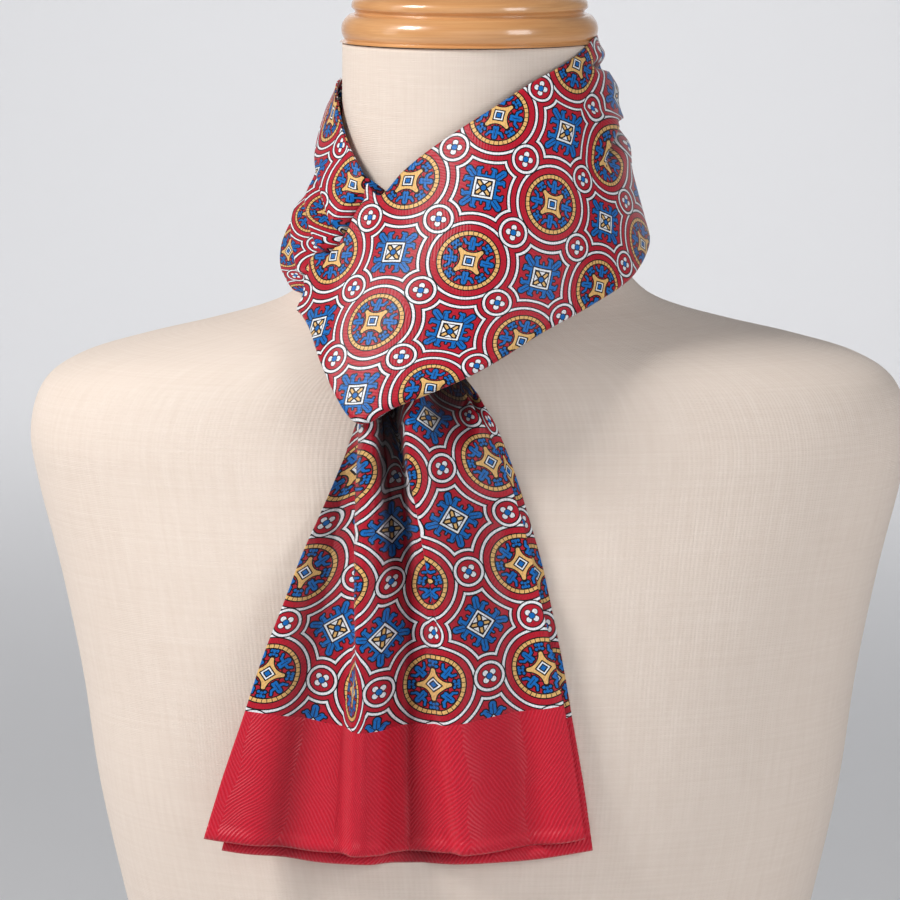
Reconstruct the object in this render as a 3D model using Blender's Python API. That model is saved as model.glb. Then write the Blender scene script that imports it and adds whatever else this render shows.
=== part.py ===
"""Printed silk ascot scarf, worn as a crossed loop on a limbless linen dress form.

Metres, +Z up, the wearer's front towards -Y. The origin is the centre of the stand's
underside. Every table below is in millimetres and is turned into metres once, by MM.
The scarf is open cloth: each piece is one sheet with a real wall, made from a grid of
points by moving them half a wall out and half a wall in.
"""

import math

import bpy
import numpy as np

for old in list(bpy.data.objects):
    bpy.data.objects.remove(old, do_unlink=True)

MM = 0.001
WALL = 1.4  # cloth wall

# Grid sizes
FRONT_ROUND, NAPE_ROUND, LOOP_DOWN = 42, 22, 13
FORM_ROUND, FORM_UP = 44, 34
CAP_ROUND = 40
TAIL_DOWN = 15

# Where the loop's front and nape stretches part, as rows of its table
RIGHT_SIDE, LEFT_SIDE, LOOP_CUT = 8.0, 13.6, 0.015

# Folded edge along the loop's lower side
HEM_RADIUS = 2.3
HEM_TURN = (0.0, 0.33, 0.67, 1.0)
HEM_RETURN = (6.0, 14.0)

# The loop round the neck. Columns: the neckline's x, y, z, the lower edge's x, y, z, and how
# far the cloth bulges out between them. Rows go from the crossing in front to the wearer's
# left, round the nape and back.
LOOP = (
    (-31.0, -62.0, 683.5, -52.2, -117.0, 575.0, 2.0),
    (-19.2, -65.0, 693.5, -34.0, -119.5, 582.6, 3.0),
    (-2.5, -67.0, 705.0, -8.0, -119.5, 593.0, 4.0),
    (11.4, -66.0, 713.8, 10.5, -115.5, 601.5, 5.0),
    (27.4, -60.0, 724.0, 34.0, -103.0, 614.4, 6.0),
    (38.6, -52.0, 729.7, 57.0, -86.0, 625.0, 6.5),
    (50.5, -38.0, 736.0, 76.0, -58.0, 634.8, 6.0),
    (60.6, -15.0, 743.0, 85.0, -14.0, 646.0, 3.0),
    (61.0, 14.0, 742.0, 80.0, 18.0, 649.0, 3.0),
    (47.5, 41.0, 737.0, 59.0, 50.0, 652.0, 3.0),
    (21.0, 58.2, 734.0, 30.0, 70.5, 652.5, 3.0),
    (-6.0, 61.0, 731.0, -8.0, 76.5, 650.5, 3.0),
    (-32.0, 53.2, 728.0, -42.0, 67.0, 648.0, 3.0),
    (-53.5, 33.0, 724.5, -73.0, 43.0, 641.0, 3.0),
    (-62.6, 6.0, 720.5, -87.8, 8.0, 635.5, 1.0),
    (-61.8, -14.0, 709.7, -88.6, -18.0, 629.0, 5.0),
    (-57.4, -32.0, 695.5, -84.0, -42.0, 621.5, 7.0),
    (-51.5, -45.0, 685.0, -75.0, -68.0, 612.0, 6.0),
    (-42.5, -56.5, 672.0, -66.5, -98.0, 594.5, 3.0),
)

# Folds gathered at the wearer's right of the crossing. Columns: x and z where the fold is
# deepest, x and z of its middle, x and z where it fades, its depth and its half width.
FOLDS = (
    (-60.0, 651.0, -66.5, 667.0, -68.5, 688.0, 5.6, 6.0),
    (-66.5, 643.0, -71.5, 659.5, -74.5, 676.0, 6.0, 5.0),
    (-75.0, 629.5, -79.0, 643.5, -79.5, 664.0, 5.0, 5.0),
    (76.0, 697.0, 69.0, 705.0, 63.0, 727.0, 2.4, 4.0),
    (71.0, 636.0, 66.0, 655.0, 66.5, 690.0, 2.2, 6.0),
)
SHOULDER_BILLOW = (72.0, 717.0, 7.0, 11.0, 9.0)  # x, z, how far out, half width and height

# The two tails. Columns: z, the left edge's x, the right edge's x, and the middle's y.
FRONT_TAIL = (
    (594.0, -46.5, -7.0, -95.0),
    (583.0, -50.0, -1.5, -99.3),
    (571.0, -52.0, 6.0, -102.6),
    (551.0, -59.7, 15.5, -105.5),
    (529.0, -69.3, 23.2, -110.0),
    (511.0, -77.6, 28.0, -114.5),
    (492.0, -84.9, 32.0, -119.0),
    (466.0, -95.0, 38.0, -124.0),
    (440.0, -103.6, 43.4, -128.0),
    (412.0, -113.2, 48.2, -131.0),
    (384.0, -121.9, 52.3, -133.5),
)
BACK_TAIL = (
    (598.0, -39.0, -9.0, -90.0),
    (585.0, -42.0, 2.0, -95.2),
    (571.0, -45.0, 11.0, -98.8),
    (549.0, -54.0, 20.0, -101.6),
    (527.0, -64.0, 27.0, -105.0),
    (508.0, -72.0, 32.5, -109.5),
    (488.0, -80.0, 37.0, -114.5),
    (461.0, -90.0, 42.5, -119.5),
    (435.0, -98.0, 47.0, -123.5),
    (406.0, -106.0, 52.0, -126.5),
    (377.5, -114.0, 56.0, -129.0),
)
TAIL_SAG = 3.0  # the hem's middle hangs this much lower than its ends
SIDE_SWEEP = 5.0  # the tails' sides turn back this much, round the chest

# Pleats of the front tail. Columns: z, the edge's x, how far it overlaps, and how full it is.
PLEAT_LEFT = (
    (600.0, -46.5, 2.0, 1.0),
    (570.0, -50.2, 4.0, 1.0),
    (540.0, -52.3, 6.0, 1.0),
    (505.0, -52.7, 0.0, 1.0),
    (475.0, -53.2, 0.0, 0.55),
    (440.0, -54.0, 0.0, 0.25),
    (384.0, -56.0, 0.0, 0.10),
)
PLEAT_RIGHT = (
    (600.0, -33.5, 5.0, 1.0),
    (576.0, -33.5, 8.0, 1.0),
    (563.0, -32.0, 8.0, 1.0),
    (539.0, -24.9, 4.0, 1.0),
    (519.0, -21.0, 0.0, 1.0),
    (490.0, -16.2, 0.0, 0.45),
    (450.0, -10.0, 0.0, 0.2),
    (384.0, -2.0, 0.0, 0.05),
)
PLEAT_TURN = 1.55  # radius of a pleat's two turns
PLEAT_CLEAR = 3.3  # a panel keeps this far from the next pleat's turn before it sinks
PLEAT_SPREAD = 16.0  # a pleat's run gets this much wider as it flattens out

# The dress form. Columns: z, half width, front depth, back depth, squareness.
FORM = (
    (18.3, 142.0, 101.0, 96.0, 2.3),
    (60.0, 163.0, 113.0, 110.0, 2.3),
    (110.0, 166.0, 112.0, 114.0, 2.3),
    (180.0, 148.0, 103.0, 98.0, 2.2),
    (250.0, 148.0, 108.0, 97.0, 2.2),
    (320.0, 164.0, 118.0, 108.0, 2.3),
    (385.0, 178.0, 123.0, 118.0, 2.4),
    (440.0, 186.0, 119.0, 124.0, 2.4),
    (490.0, 196.0, 110.0, 125.0, 2.4),
    (530.0, 206.0, 99.5, 123.0, 2.4),
    (556.0, 210.0, 93.0, 119.0, 2.4),
    (578.0, 204.0, 88.0, 114.0, 2.3),
    (590.0, 188.0, 84.5, 110.0, 2.2),
    (598.0, 162.0, 81.5, 106.0, 2.1),
    (605.0, 132.0, 78.5, 101.0, 2.0),
    (612.0, 105.0, 75.0, 95.0, 2.0),
    (619.5, 87.0, 71.5, 88.0, 2.0),
    (630.0, 76.0, 68.0, 80.5, 2.0),
    (644.0, 69.0, 65.5, 73.0, 2.0),
    (662.0, 65.0, 64.0, 66.5, 2.0),
    (680.0, 62.0, 62.0, 62.0, 2.0),
    (705.0, 60.7, 60.7, 60.5, 2.0),
    (739.7, 60.4, 60.4, 60.0, 2.0),
)

# The turned neck cap and the stand. Columns: radius, z.
NECK_CAP = (
    (56.5, 740.0),
    (59.4, 741.6),
    (60.8, 745.5),
    (60.2, 749.5),
    (57.6, 752.8),
    (54.6, 754.0),
    (54.6, 755.2),
    (56.0, 756.8),
    (55.0, 760.2),
    (50.0, 763.0),
    (44.6, 764.2),
    (43.2, 765.6),
    (43.8, 768.0),
    (41.5, 771.0),
    (34.0, 773.6),
    (20.0, 775.6),
    (14.0, 778.5),
    (14.6, 783.5),
    (17.6, 789.0),
    (16.8, 794.5),
    (11.5, 798.6),
    (5.0, 800.3),
)
STAND = (
    (156.0, 0.0),
    (160.0, 4.0),
    (160.0, 13.0),
    (157.0, 16.8),
    (151.0, 18.0),
)


def material(name, colour, roughness):
    made = bpy.data.materials.new(name)
    made.use_nodes = True
    shader = made.node_tree.nodes["Principled BSDF"]
    shader.inputs["Base Color"].default_value = (*colour, 1.0)
    shader.inputs["Roughness"].default_value = roughness
    return made


def add_object(name, points, faces, look):
    """A named object at the origin from points in millimetres."""
    mesh = bpy.data.meshes.new(name)
    mesh.from_pydata((np.asarray(points) * MM).tolist(), [], faces)
    mesh.materials.append(look)
    mesh.validate()
    mesh.update()
    made = bpy.data.objects.new(name, mesh)
    bpy.context.scene.collection.objects.link(made)
    mesh.shade_smooth()
    mesh.set_sharp_from_angle(angle=math.radians(50))
    return made


def through(rows, at, closed=False):
    """A smooth curve through the rows of a table, read at the given row numbers."""
    rows = np.asarray(rows, float)
    count = len(rows)
    low = np.floor(at).astype(int)
    part = (at - low)[:, None]
    if closed:
        before, start, end, after = (rows[(low + k) % count] for k in (-1, 0, 1, 2))
    else:
        low = np.minimum(low, count - 2)
        part = (at - low)[:, None]
        before, start, end, after = (rows[np.clip(low + k, 0, count - 1)] for k in (-1, 0, 1, 2))
    return 0.5 * (
        2 * start
        + (end - before) * part
        + (2 * before - 5 * start + 4 * end - after) * part**2
        + (3 * start - before - 3 * end + after) * part**3
    )


def column_at(table, z):
    """The other columns of a table whose first column is z, read at each z."""
    rows = np.array(sorted(table))
    return [np.interp(z, rows[:, 0], rows[:, k]) for k in range(1, rows.shape[1])]


def unit(vectors):
    return vectors / np.maximum(np.linalg.norm(vectors, axis=-1, keepdims=True), 1e-9)


def grid_normals(grid):
    """The normal at each point of a grid, from the steps to its neighbours."""
    along, across = np.gradient(grid, axis=(0, 1))
    return unit(np.cross(along, across))


def cloth_sheet(name, grid, look):
    """A closed wall round a grid of points: one skin half a wall out, one half a wall in,
    and a rim along each edge."""
    normal = grid_normals(grid)
    across, down = grid.shape[:2]
    points = np.concatenate([(grid + side * WALL / 2 * normal).reshape(-1, 3) for side in (1, -1)])
    count = across * down
    number = np.arange(count).reshape(across, down)
    corners = (number[:-1, :-1], number[1:, :-1], number[1:, 1:], number[:-1, 1:])
    quads = np.stack(corners, axis=-1).reshape(-1, 4)
    faces = quads.tolist() + (quads[:, ::-1] + count).tolist()
    for line in (number[:, 0], number[-1, :], number[::-1, -1], number[0, ::-1]):
        rim = np.stack([line[1:], line[:-1], line[:-1] + count, line[1:] + count], axis=-1)
        faces += rim.tolist()
    return add_object(name, points, faces, look)


def rings(name, rounds, look):
    """A solid from closed rings of points, with a fan over each end."""
    count, steps = rounds.shape[:2]
    points = rounds.reshape(-1, 3).tolist()
    faces = []
    for row in range(count - 1):
        for k in range(steps):
            a, b = row * steps + k, row * steps + (k + 1) % steps
            faces.append([a, b, b + steps, a + steps])
    for row, turned in ((0, True), (count - 1, False)):
        centre = len(points)
        points.append(rounds[row].mean(axis=0).tolist())
        for k in range(steps):
            a, b = row * steps + k, row * steps + (k + 1) % steps
            faces.append([b, a, centre] if turned else [a, b, centre])
    return add_object(name, points, faces, look)


def fold_depth(grid):
    """How far the gathered folds press the cloth in at each point."""
    depth = np.zeros(grid.shape[:2])
    spot = grid[..., [0, 2]]
    for row in FOLDS:
        line = np.array(row[:6]).reshape(3, 2)
        strength, half = row[6:]
        nearest = np.full(depth.shape, 1e9)
        along = np.zeros(depth.shape)
        for k in range(2):
            step = line[k + 1] - line[k]
            part = np.clip(((spot - line[k]) @ step) / (step @ step), 0, 1)
            away = np.linalg.norm(spot - line[k] - part[..., None] * step, axis=-1)
            closer = away < nearest
            nearest = np.where(closer, away, nearest)
            along = np.where(closer, (k + part) / 2, along)
        shape = np.exp(-((nearest / half) ** 2)) * (1 - 0.75 * along)
        depth += strength * shape * (grid[..., 1] < 10)
    return depth


def loop_grid(first, last, count):
    """A stretch of the loop between two row numbers of its table: sections from the neckline
    to the lower edge, then the turned hem."""
    rows = through(LOOP, np.linspace(first, last, count) % len(LOOP), closed=True)
    neckline, edge, bulge = rows[:, 0:3], rows[:, 3:6], rows[:, 6]
    part = np.linspace(0, 1, LOOP_DOWN)
    grid = neckline[:, None] + (edge - neckline)[:, None] * part[None, :, None]
    outward = unit(np.concatenate([grid[..., :2], np.zeros((*grid.shape[:2], 1))], axis=-1))
    grid += outward * (bulge[:, None] * np.sin(np.pi * part)[None])[..., None]
    grid -= outward * fold_depth(grid)[..., None]
    x, z, reach, wide, high = SHOULDER_BILLOW
    billow = reach * np.exp(-(((grid[..., 0] - x) / wide) ** 2) - ((grid[..., 2] - z) / high) ** 2)
    grid += outward * billow[..., None]

    # The hem turns in and up, about a circle just inside the lower edge.
    last = grid[:, -1]
    down = unit(last - grid[:, -2])
    inward = -grid_normals(grid)[:, -1]
    inward = np.where((inward * last).sum(-1, keepdims=True) > 0, -inward, inward)
    hem = []
    for turn in HEM_TURN[1:]:
        angle = math.pi * turn
        hem.append(
            last
            + HEM_RADIUS * (math.sin(angle) * down + (1 - math.cos(angle)) * inward)
        )
    for back in HEM_RETURN:
        hem.append(hem[len(HEM_TURN) - 2] - back * down)
    return np.concatenate([grid, np.stack(hem, axis=1)], axis=1)


def pleat_run(edge, overlap, full, start, end):
    """One section of a pleat between two x: under, back, and over, as x and lift pairs.

    The flat section and the folded one are mixed by how full the pleat is."""
    turn = PLEAT_TURN
    angles = np.linspace(0, math.pi, 5)
    first = np.stack([edge + overlap + turn * np.sin(angles), turn * (1 - np.cos(angles))], axis=-1)
    second = np.stack([edge - turn * np.sin(angles), 2 * turn + turn * (1 - np.cos(angles))], axis=-1)
    folded = np.concatenate([first, second])
    flat = np.stack([np.linspace(start, end, len(folded)), np.zeros(len(folded))], axis=-1)
    flat[:, 1] = 4 * turn * full * np.linspace(0, 1, len(folded))
    return full * folded + (1 - full) * flat


def tail_grid(table, pleats, panels):
    """A tail's points: across from its left edge to its right, then down to the hem."""
    at = np.linspace(0, len(table) - 1, TAIL_DOWN)
    rows = through(table, at)
    grid = []
    for z, left, right, middle in rows:
        section = []
        start, lift, clear = left, 0.0, 0.0
        places = []
        for pleat in pleats:
            edge, overlap, full = (value[0] for value in column_at(pleat, [z]))
            places.append((edge, overlap, full))
        for (edge, overlap, full), count in zip(places, panels):
            width = 3.0 + overlap + PLEAT_SPREAD * (1 - full)
            run = pleat_run(edge, overlap, full, edge - width / 2, edge + width / 2)
            low_to = min(edge - PLEAT_CLEAR, run[0, 0] - 1.5)
            low_from = max(min(start + clear, low_to - 2.5), start + 0.3 * (low_to - start))
            marks = [start, low_from, low_to, run[0, 0]]
            if lift == 0.0:
                marks = np.linspace(start, run[0, 0], 4)
            lifts = [lift, lift, 0.0, 0.0]
            for part in np.arange(count) * 3 / count:
                section.append((np.interp(part, range(4), marks), np.interp(part, range(4), lifts)))
            section += [tuple(point) for point in run]
            start, lift = section.pop()
            clear = overlap + PLEAT_CLEAR
        for k, x in enumerate(np.linspace(start, right, panels[-1] + 1)):
            fade = np.clip((x - start - clear) / (right - start - clear), 0, 1)
            section.append((x, lift * (1 - fade) ** 1.5))
        section = np.array(section)
        side = (section[:, 0] - (left + right) / 2) / ((right - left) / 2)
        low = (z - rows[-1, 0]) / (rows[0, 0] - rows[-1, 0])
        sag = TAIL_SAG * (1 - side**2) * (1 - low) ** 2
        y = middle - section[:, 1] + SIDE_SWEEP * np.abs(side) ** 3 * (1 - 0.5 * low)
        grid.append(np.stack([section[:, 0], y, z - sag], axis=-1))
    return np.array(grid).transpose(1, 0, 2)


def form_rounds():
    """The dress form's rings, each an ellipse squared a little, deeper in front or behind."""
    table = through(FORM, np.linspace(0, len(FORM) - 1, FORM_UP))
    angle = np.arange(FORM_ROUND) * 2 * math.pi / FORM_ROUND
    rounds = []
    for z, half, front, back, square in table:
        c, s = np.cos(angle), np.sin(angle)
        x = half * np.sign(c) * np.abs(c) ** (2 / square)
        depth = np.where(s < 0, front, back)
        y = depth * np.sign(s) * np.abs(s) ** (2 / square)
        rounds.append(np.stack([x, y, np.full(FORM_ROUND, z)], axis=-1))
    return np.array(rounds)


def lathe_rounds(profile, steps):
    angle = np.arange(steps) * 2 * math.pi / steps
    return np.array(
        [np.stack([r * np.cos(angle), r * np.sin(angle), np.full(steps, z)], axis=-1) for r, z in profile]
    )


# Materials
silk = material("printed_silk", (0.60, 0.035, 0.07), 0.42)
linen = material("linen_cover", (0.80, 0.70, 0.60), 0.9)
wood = material("lacquered_wood", (0.62, 0.34, 0.14), 0.25)

# The scarf
front_end, nape_end = LEFT_SIDE - len(LOOP) + LOOP_CUT, RIGHT_SIDE - LOOP_CUT
cloth_sheet("crossed_front", loop_grid(front_end, nape_end, FRONT_ROUND), silk)
nape = loop_grid(RIGHT_SIDE + LOOP_CUT, LEFT_SIDE - LOOP_CUT, NAPE_ROUND)
cloth_sheet("nape_stretch", nape, silk)
cloth_sheet("front_tail", tail_grid(FRONT_TAIL, (PLEAT_LEFT, PLEAT_RIGHT), (6, 6, 10)), silk)
cloth_sheet("back_tail", tail_grid(BACK_TAIL, (), (10,)), silk)

# The dress form
rings("form_body", form_rounds(), linen)
rings("neck_cap", lathe_rounds(NECK_CAP, CAP_ROUND), wood)
rings("form_stand", lathe_rounds(STAND, CAP_ROUND), wood)
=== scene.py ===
# %% [markdown]
# # A printed silk ascot scarf on a dress form
# The part's solids come in first. Each piece of cloth is then made again as a fine grid
# on the form of its solid, with the folds that the solids are too coarse for. Prints,
# weaves and grain are worked out in node groups from each piece's own coordinates.

import math

import bpy
import numpy as np
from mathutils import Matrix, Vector


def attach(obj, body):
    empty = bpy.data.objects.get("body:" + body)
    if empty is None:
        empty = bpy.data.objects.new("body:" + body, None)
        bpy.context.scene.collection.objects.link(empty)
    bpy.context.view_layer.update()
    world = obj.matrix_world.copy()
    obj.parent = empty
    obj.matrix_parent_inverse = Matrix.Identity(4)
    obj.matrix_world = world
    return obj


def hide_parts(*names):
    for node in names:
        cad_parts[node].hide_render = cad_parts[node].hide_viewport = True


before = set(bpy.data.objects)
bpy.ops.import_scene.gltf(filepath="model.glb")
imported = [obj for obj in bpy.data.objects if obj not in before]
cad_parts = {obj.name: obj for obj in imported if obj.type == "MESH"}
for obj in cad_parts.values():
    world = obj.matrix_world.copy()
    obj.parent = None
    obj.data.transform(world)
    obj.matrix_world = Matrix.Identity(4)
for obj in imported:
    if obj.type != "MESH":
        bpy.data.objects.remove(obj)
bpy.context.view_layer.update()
MM = 0.001
REPEAT = 51.0  # one repeat of the print, in mm

# The camera: how far off, how far it looks down, where it aims (m), and its lens
CAMERA_DISTANCE, CAMERA_TILT = 2.2, math.radians(8.3)
AIM = Vector((-0.00936, 0.0, 0.5446))
LENS_TO_SENSOR = 5.092
print("nodes:", ", ".join(sorted(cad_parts)))


# %% [markdown]
# ## Helpers for surfaces
# A piece is a grid of points, in millimetres. `surface` turns a grid into a mesh with a
# UV map and named values at its points, with no loop over the points.

# %%
def through(rows, at, closed=False):
    """Catmull-Rom curve through a table's rows, read at row numbers: the usual cubic
    whose slope at each row is half the step between its two neighbours."""
    rows = np.asarray(rows, float)
    count = len(rows)
    low = np.floor(at).astype(int)
    if not closed:
        low = np.minimum(low, count - 2)
    part = (at - low)[:, None]
    places = [(low + k) % count if closed else np.clip(low + k, 0, count - 1) for k in (-1, 0, 1, 2)]
    before, start, end, after = (rows[place] for place in places)
    return 0.5 * (
        2 * start
        + (end - before) * part
        + (2 * before - 5 * start + 4 * end - after) * part**2
        + (3 * start - before - 3 * end + after) * part**3
    )


def unit(vectors):
    return vectors / np.maximum(np.linalg.norm(vectors, axis=-1, keepdims=True), 1e-9)


def grid_normals(grid):
    """Normals: the cross product of the steps along a grid's two directions."""
    along, across = np.gradient(grid, axis=(0, 1))
    return unit(np.cross(along, across))


def smooth_step(x):
    x = np.clip(x, 0, 1)
    return x * x * (3 - 2 * x)


def surface(name, grid, look, uv=None, values=None, wrap=False):
    """A mesh from a grid of points in mm, facing the side its normals are on."""
    across, down = grid.shape[:2]
    number = np.arange(across * down).reshape(across, down)
    if wrap:
        number = np.concatenate([number, number[:1]])
    corners = (number[:-1, :-1], number[1:, :-1], number[1:, 1:], number[:-1, 1:])
    quads = np.stack(corners, axis=-1).reshape(-1, 4)
    mesh = bpy.data.meshes.new(name)
    mesh.vertices.add(across * down)
    mesh.vertices.foreach_set("co", (grid * MM).reshape(-1).astype(np.float32))
    mesh.loops.add(quads.size)
    mesh.loops.foreach_set("vertex_index", quads.reshape(-1).astype(np.int32))
    mesh.polygons.add(len(quads))
    mesh.polygons.foreach_set("loop_start", np.arange(0, quads.size, 4, dtype=np.int32))
    mesh.update()
    if uv is not None:
        flat = uv.reshape(-1, 2)[quads.reshape(-1) % (across * down)]
        layer = mesh.uv_layers.new(name="UVMap")
        layer.data.foreach_set("uv", flat.reshape(-1).astype(np.float32))
    for title, value in (values or {}).items():
        made = mesh.attributes.new(title, "FLOAT", "POINT")
        made.data.foreach_set("value", value.reshape(-1).astype(np.float32))
    mesh.materials.append(look)
    mesh.shade_smooth()
    made = bpy.data.objects.new(name, mesh)
    bpy.context.scene.collection.objects.link(made)
    print(f"{name}: {len(quads)} quads")
    return made


def give_wall(piece, thickness):
    """A thin wall on both sides of a cloth surface, with its rim."""
    wall = piece.modifiers.new("Wall", "SOLIDIFY")
    wall.thickness = thickness * MM
    wall.offset = 0.0


# %% [markdown]
# ## Helpers for shader node groups
# `Term` wraps a value in a node tree, so a formula can be written as a formula. Each
# operation adds one Math node.

# %%
class Term:
    """A number that a node gives. Arithmetic on it adds Math nodes to its tree."""

    def __init__(self, tree, socket):
        self.tree, self.socket = tree, socket

    def math(self, operation, *others):
        node = self.tree.nodes.new("ShaderNodeMath")
        node.operation = operation
        for k, other in enumerate((self, *others)):
            if isinstance(other, Term):
                self.tree.links.new(other.socket, node.inputs[k])
            else:
                node.inputs[k].default_value = other
        return Term(self.tree, node.outputs[0])

    def __add__(self, other):
        return self.math("ADD", other)

    def __sub__(self, other):
        return self.math("SUBTRACT", other)

    def __mul__(self, other):
        return self.math("MULTIPLY", other)

    def __truediv__(self, other):
        return self.math("DIVIDE", other)

    def __neg__(self):
        return self.math("MULTIPLY", -1.0)

    def abs(self):
        return self.math("ABSOLUTE")

    def fract(self):
        return self.math("FRACT")

    def sqrt(self):
        return self.math("SQRT")

    def low(self, other):
        return self.math("MINIMUM", other)

    def high(self, other):
        return self.math("MAXIMUM", other)

    def under(self, limit):
        return self.math("LESS_THAN", limit)

    def over(self, limit):
        return self.math("GREATER_THAN", limit)


def distance(a, b):
    return (a * a + b * b).sqrt()


def disc(a, b, x, y, radius):
    """Signed distance to a disc: how far from its centre, less its radius."""
    return distance(a - x, b - y) - radius


def stroke(a, b, start, end, radius):
    """Signed distance to a round-ended stroke: how far from the line from start to end,
    less its radius. The nearest place on the line is the dot product over its length
    squared, kept from 0 to 1."""
    step = (end[0] - start[0], end[1] - start[1])
    a, b = a - start[0], b - start[1]
    part = (a * step[0] + b * step[1]) / (step[0] ** 2 + step[1] ** 2)
    part = part.high(0.0).low(1.0)
    return distance(a - part * step[0], b - part * step[1]) - radius


def new_group(name, inputs, outputs):
    """A shader node group with float, vector or colour sockets."""
    kinds = {"value": "NodeSocketFloat", "vector": "NodeSocketVector", "colour": "NodeSocketColor"}
    tree = bpy.data.node_groups.new(name, "ShaderNodeTree")
    for label, kind in inputs:
        tree.interface.new_socket(label, in_out="INPUT", socket_type=kinds[kind])
    for label, kind in outputs:
        tree.interface.new_socket(label, in_out="OUTPUT", socket_type=kinds[kind])
    start, end = tree.nodes.new("NodeGroupInput"), tree.nodes.new("NodeGroupOutput")
    return tree, start, end


def linear(red, green, blue):
    """A screen colour from 0 to 255 as linear light, by the sRGB curve."""
    part = np.array([red, green, blue]) / 255
    light = np.where(part <= 0.04045, part / 12.92, ((part + 0.055) / 1.055) ** 2.4)
    return (*light.tolist(), 1.0)


class Paint:
    """Flat colours laid over each other by masks, in a node tree."""

    def __init__(self, tree, ground):
        self.tree, self.last = tree, ground

    def over(self, mask, colour):
        node = self.tree.nodes.new("ShaderNodeMix")
        node.data_type = "RGBA"
        self.tree.links.new(mask.socket, node.inputs["Factor"])
        for value, socket in ((self.last, node.inputs[6]), (colour, node.inputs[7])):
            if isinstance(value, tuple):
                socket.default_value = value
            else:
                self.tree.links.new(value, socket)
        self.last = node.outputs[2]

    def shape(self, edge, colour, line=0.0095):
        """A shape filled with a colour and drawn round in near-black; edge is its signed
        distance, in repeats."""
        self.over(edge.under(line), INK)
        self.over(edge.under(-line * 0.25), colour)


def texture(tree, kind, vector, **settings):
    node = tree.nodes.new(kind)
    if vector is not None:
        tree.links.new(vector, node.inputs["Vector"])
    for label, value in settings.items():
        node.inputs[label].default_value = value
    return node


def scaled(tree, vector, amounts):
    node = tree.nodes.new("ShaderNodeVectorMath")
    node.operation = "MULTIPLY"
    tree.links.new(vector, node.inputs[0])
    node.inputs[1].default_value = amounts
    return node.outputs[0]


def bumped(tree, height, strength, depth, normal=None):
    node = tree.nodes.new("ShaderNodeBump")
    node.inputs["Strength"].default_value = strength
    node.inputs["Distance"].default_value = depth
    tree.links.new(height, node.inputs["Height"])
    if normal is not None:
        tree.links.new(normal, node.inputs["Normal"])
    return node.outputs[0]


# %% [markdown]
# ## The print
# The print repeats on a square lattice. A round medallion sits at each whole place, a
# cusped square in the middle of each cell, and a roundel halfway between medallions.
# All of it is mirror-symmetric, so each motif is drawn for one eighth of a turn: `a` runs
# towards the nearest lattice axis and `b` across it, both in repeats.

# %%
INK = linear(12, 4, 12)
RED = linear(182, 18, 42)
BLUE = linear(0, 106, 188)
GOLD = linear(232, 184, 112)
WHITE = linear(236, 238, 242)
BORDER_RED = linear(196, 14, 40)
BORDER_LIGHT = linear(240, 72, 94)
PAINTED_FOLD_SHADE = linear(20, 6, 10)  # painted shade: the near-black laid on silk deep in a fold or under other cloth


def folded(x, y):
    """One eighth of the plane: the larger and the smaller distance from the centre."""
    x, y = x.abs(), y.abs()
    return x.high(y), x.low(y)


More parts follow.
